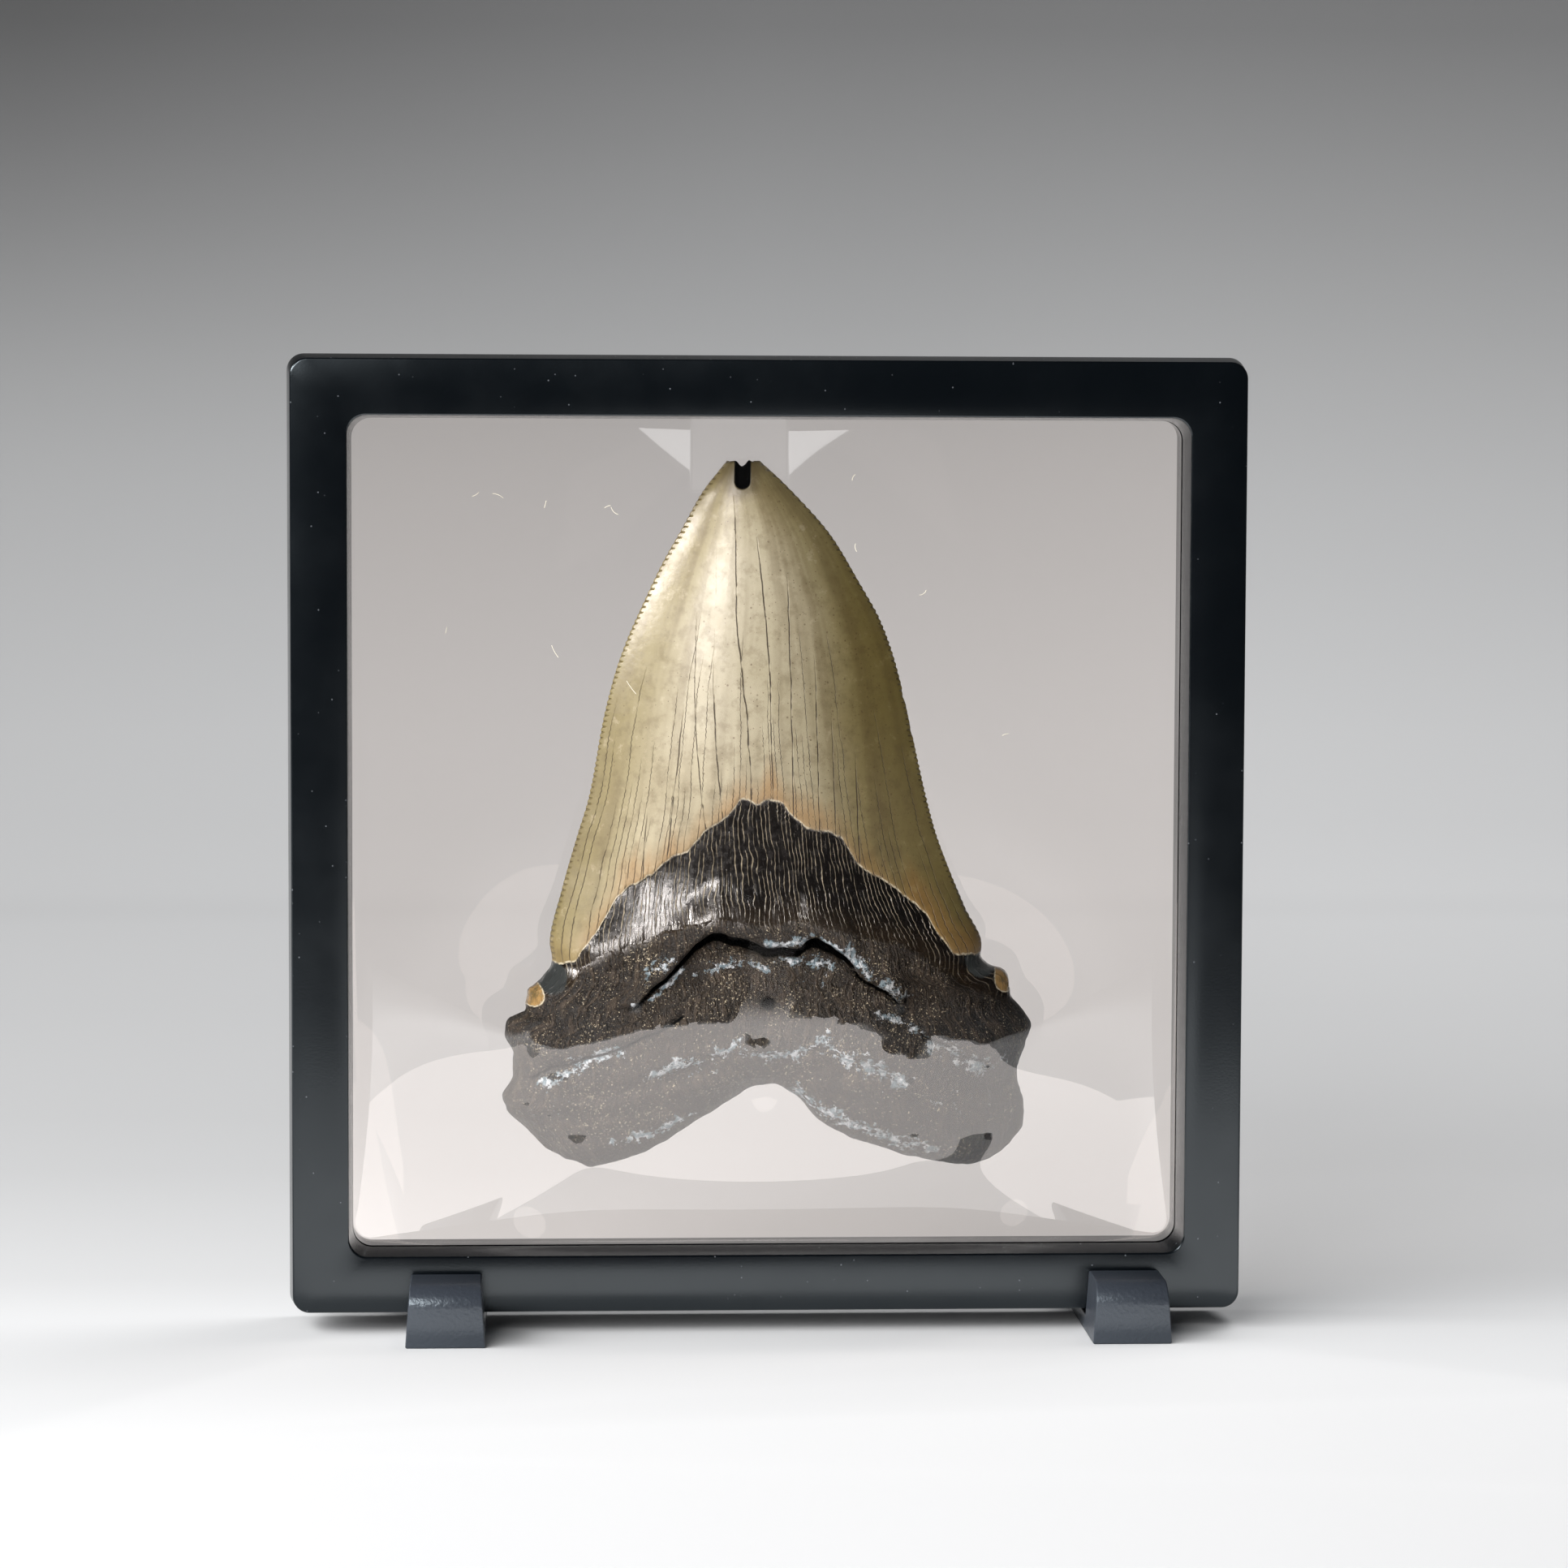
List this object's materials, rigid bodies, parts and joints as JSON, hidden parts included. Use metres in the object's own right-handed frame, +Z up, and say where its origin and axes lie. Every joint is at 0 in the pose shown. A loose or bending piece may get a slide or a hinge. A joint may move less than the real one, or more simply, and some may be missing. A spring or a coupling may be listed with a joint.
{
  "type": "framed megalodon tooth",
  "caption": "Fossil megalodon tooth held upright between clear films in a square black display frame on slide-on feet.",
  "frame": {"origin": "middle of the footprint on the surface that the feet stand on", "axes": "+Z up, -Y out of the front window, towards the viewer, +X to the viewer's right"},
  "size_m": [0.18, 0.049, 0.1831],
  "materials": {
    "tooth_fossil": "polished olive-cream enamel with fine cracks, dark glossy neck band, gritty dark brown root",
    "frame_plastic": "satin blue-black moulded plastic with fine dust and scuffs",
    "clear_film": "clear stretched elastic film, glossy, faintly warm, with light scratches",
    "foot_plastic": "fine-grained satin dark grey moulded plastic"
  },
  "bodies": {
    "root": {"tooth": "tooth_fossil", "front_frame": "frame_plastic", "back_frame": "frame_plastic", "front_film": "clear_film", "back_film": "clear_film", "foot_left": "foot_plastic", "foot_right": "foot_plastic"}
  },
  "joints": []
}
